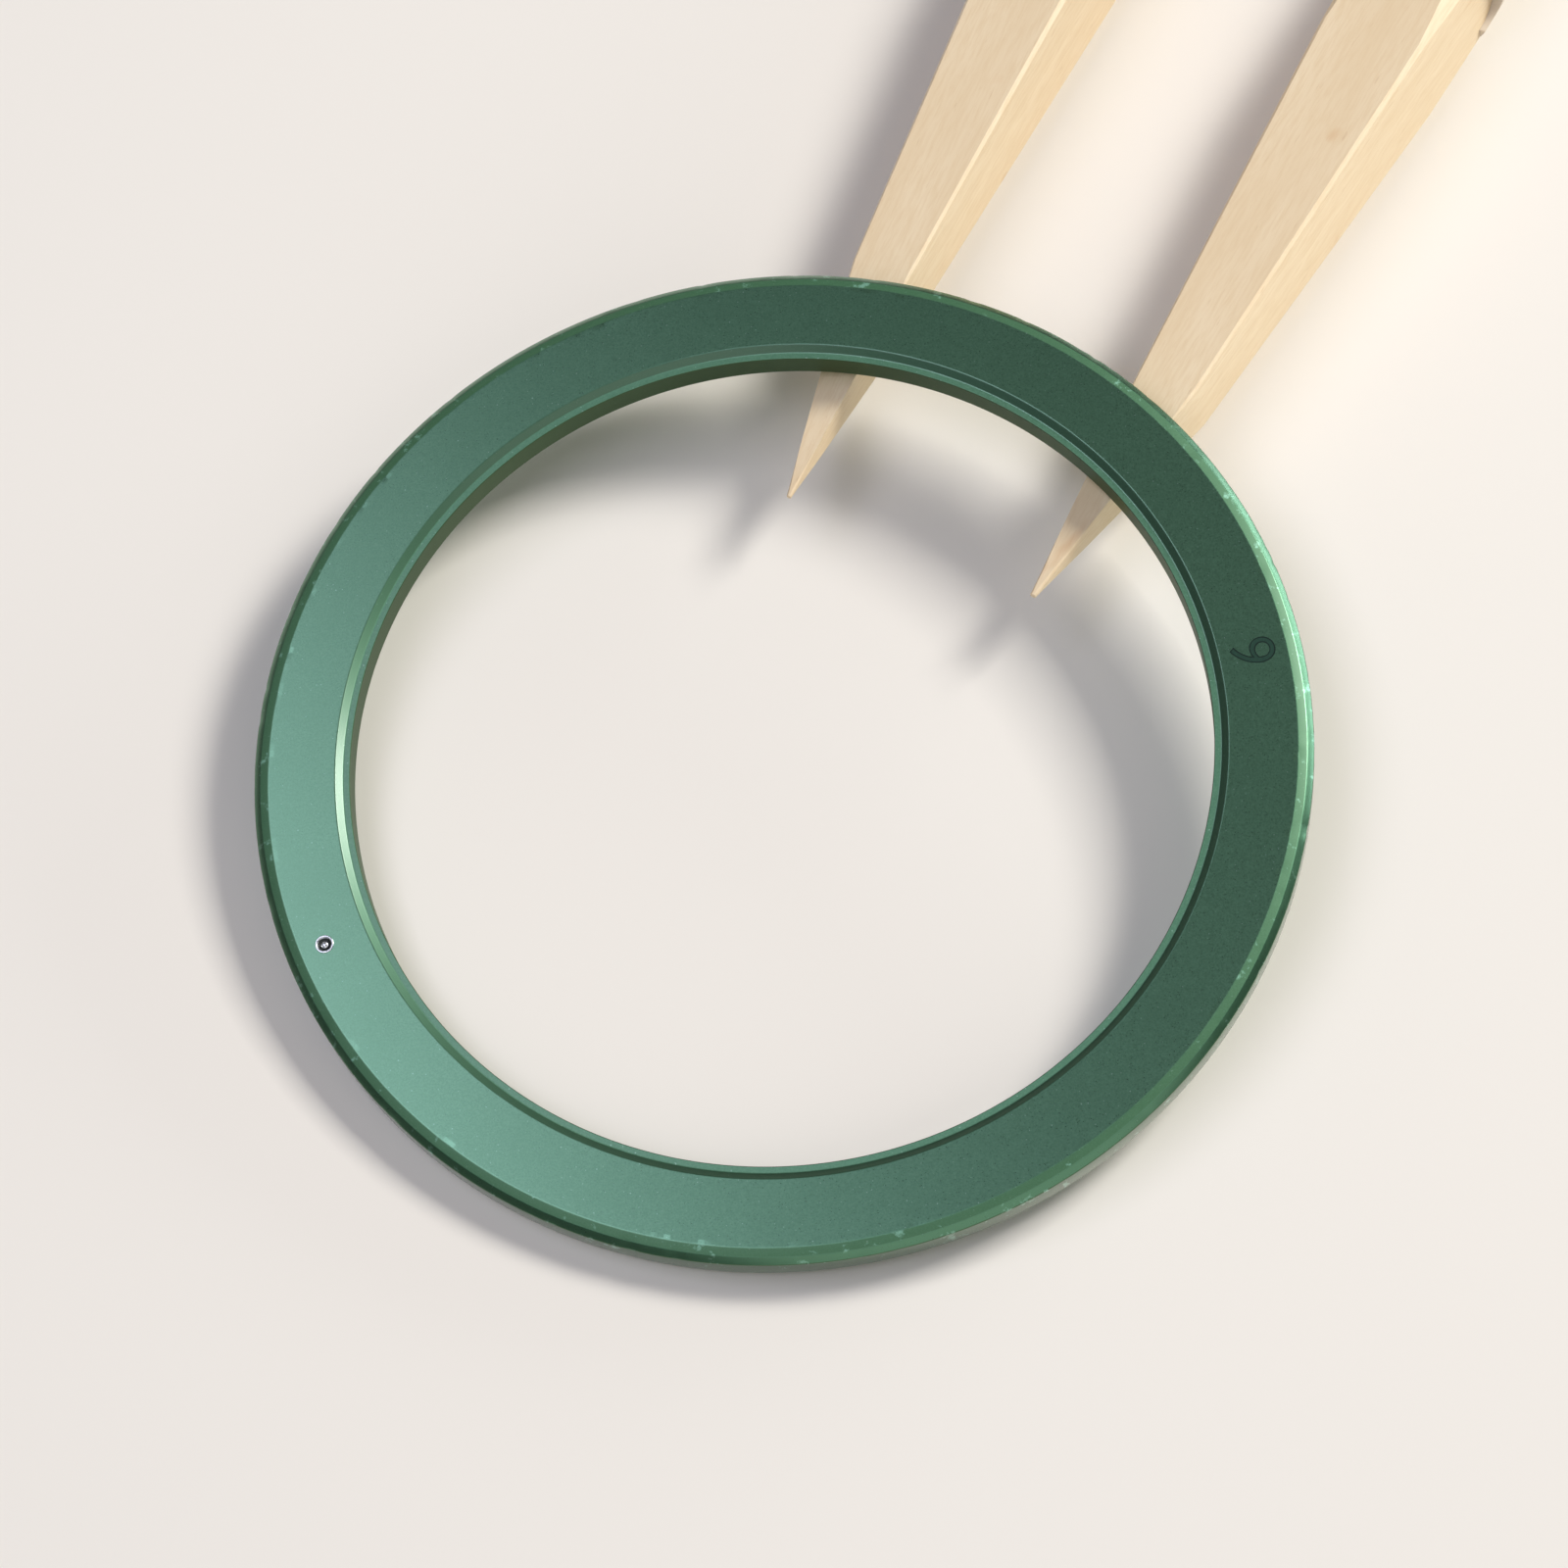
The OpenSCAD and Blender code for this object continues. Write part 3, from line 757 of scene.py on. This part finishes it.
for side, place in tip_places.items():
    cup_outline = [
        (SHOULDER_HOLE_R, CUP_START), (CUP_R - SWIVEL_CHAMFER, CUP_START), (CUP_R, CUP_START + SWIVEL_CHAMFER),
    ]
    for middle in CUP_GROOVES:
        cup_outline += groove(CUP_R, 0.15, middle, 0.22, 0.1)
    cup_outline += [
        (CUP_R, CUP_END - SWIVEL_CHAMFER), (CUP_R - SWIVEL_CHAMFER, CUP_END), (CUP_HOLLOW_R, CUP_END),
        (CUP_HOLLOW_R, CUP_WALL_END), (SHOULDER_HOLE_R, CUP_WALL_END), (SHOULDER_HOLE_R, CUP_START),
    ]
    cup = turned(side + "_steel_cup", cup_outline, sides=128)
    softened(cup, 0.06, segments=2, over=25)
    socket = turned(
        side + "_steel_socket",
        [(0.3, PLUG_START), (CUP_HOLLOW_R, PLUG_START), (CUP_HOLLOW_R, CUP_END), (SOCKET_ROOT_R, CUP_END),
         (SOCKET_ROOT_R, CUP_END + 0.8), (SOCKET_END_R, SOCKET_END - SWIVEL_CHAMFER),
         (SOCKET_END_R - SWIVEL_CHAMFER, SOCKET_END), (SOCKET_BORE_R + 0.18, SOCKET_END),
         (SOCKET_BORE_R, SOCKET_END - 0.2), (SOCKET_BORE_R, SOCKET_END - SOCKET_DEPTH),
         (0.3, SOCKET_END - SOCKET_DEPTH)],
        sides=128,
    )
    bpy.ops.mesh.primitive_cylinder_add(
        vertices=48, radius=GRUB_R * MM, depth=12 * MM, location=(0, 0, GRUB_STATION * MM),
        rotation=(math.pi / 2, 0, 0),
    )
    drill = bpy.context.object
    cut_away(socket, drill)
    bpy.data.objects.remove(drill)
    softened(socket, 0.06, segments=2, over=25)

    grubs = []
    for way in (1, -1):
        grub = turned(
            "grub",
            [(0.25, 1.66), (0.55, 1.66), (GRUB_THREAD_R, 1.9), (GRUB_THREAD_R, 2.62), (0.70, 2.70),
             (0.42, 2.70), (GRUB_KEY_HOLE_R, 2.64), (GRUB_KEY_HOLE_R, 2.2), (0.05, 2.2)],
            sides=48,
        )
        softened(grub, 0.02, segments=2, over=30)
        grub.matrix_world = Matrix.Translation((0, 0, GRUB_STATION * MM)) @ Matrix.Rotation(
            math.radians(-90 * way), 4, "X"
        )
        grubs.append(grub)
    bpy.ops.object.select_all(action="DESELECT")
    for grub in grubs:
        grub.select_set(True)
    bpy.context.view_layer.objects.active = grubs[0]
    bpy.ops.object.join()
    grub_pair = bpy.context.object
    grub_pair.name = side + "_grub_pair"
    bpy.ops.object.transform_apply(location=True, rotation=True, scale=True)

    satin, tree, shader = new_finish(side + "_satin_steel_finish")
    turned_marks = noise(tree, lying_along(tree, place, (0.15, 0.15, 9)), 2200, 4, 0.6)
    handled = noise(tree, lying_along(tree, place), 350, 3)
    colour = blended(tree, turned_marks, SATIN_DEEP, SATIN_PALE)
    colour = blended(tree, ramp(tree, handled, 0.4, 0.75, 0, 0.3), colour, SATIN_HANDLED)
    tree.links.new(colour, shader.inputs["Base Color"])
    tree.links.new(ramp(tree, turned_marks, 0.3, 0.7, 0.26, 0.38), shader.inputs["Roughness"])
    shader.inputs["Metallic"].default_value = 1.0
    raised(tree, shader, turned_marks, 0.004, 0.7)

    for piece, node in ((cup, "_swivel_cup"), (socket, "_cable_socket"), (grub_pair, "_grub_screws")):
        placed(piece, place)
        piece.data.materials.append(satin)
        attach(piece, side + "_swivel")
        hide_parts(side + node)

# ---- Floor and light ----
# A plain pale floor. A soft lamp at the upper right throws the shadows, and a broad one in front lightens them.
# A cool one lays a sheen on the ring's left side, and a low one on the right lights the rim's edge.
FLOOR_PALE = (0.82, 0.78, 0.71)
ROOM_PALE = (1.0, 0.98, 0.95)
ROOM_STRENGTH = 0.10

bpy.ops.object.select_all(action="DESELECT")
bpy.ops.mesh.primitive_plane_add(size=6, location=(0, 0, 0))
floor = bpy.context.object
floor.name = "floor"
floor_finish, tree, shader = new_finish("floor_finish")
shader.inputs["Base Color"].default_value = (*FLOOR_PALE, 1)
shader.inputs["Roughness"].default_value = 0.9
shader.inputs["Specular IOR Level"].default_value = 0.1
floor.data.materials.append(floor_finish)

LAMPS = (
    # name, direction from the ring, distance and size in metres, watts, colour
    ("window", (0.684, 0.319, 0.656), 1.0, (0.30, 0.30), 8.9, (1.0, 0.98, 0.95)),
    ("left_sheen", (-0.39, -0.075, 0.918), 0.6, (0.60, 0.26), 1.48, (0.79, 0.81, 1.0)),
    ("front_fill", (0.25, -0.80, 0.55), 1.2, (1.40, 1.00), 3.6, (1.0, 0.98, 0.95)),
    ("rim_glow", (0.87, 0.45, 0.20), 1.0, (0.80, 0.16), 2.4, (0.88, 0.98, 1.0)),
)
for name, direction, distance, size, watts, colour in LAMPS:
    lamp = bpy.data.objects.new(name, bpy.data.lights.new(name, "AREA"))
    bpy.context.scene.collection.objects.link(lamp)
    lamp.data.shape = "RECTANGLE"
    lamp.data.size, lamp.data.size_y = size
    lamp.data.energy = watts
    lamp.data.color = colour
    towards = Vector(direction).normalized()
    lamp.location = ring_spot + towards * distance
    lamp.rotation_euler = towards.to_track_quat("Z", "Y").to_euler()

world = bpy.data.worlds.new("room")
bpy.context.scene.world = world
world.use_nodes = True
world.node_tree.nodes["Background"].inputs["Color"].default_value = (*ROOM_PALE, 1)
world.node_tree.nodes["Background"].inputs["Strength"].default_value = ROOM_STRENGTH

bpy.context.scene.view_settings.view_transform = "Standard"
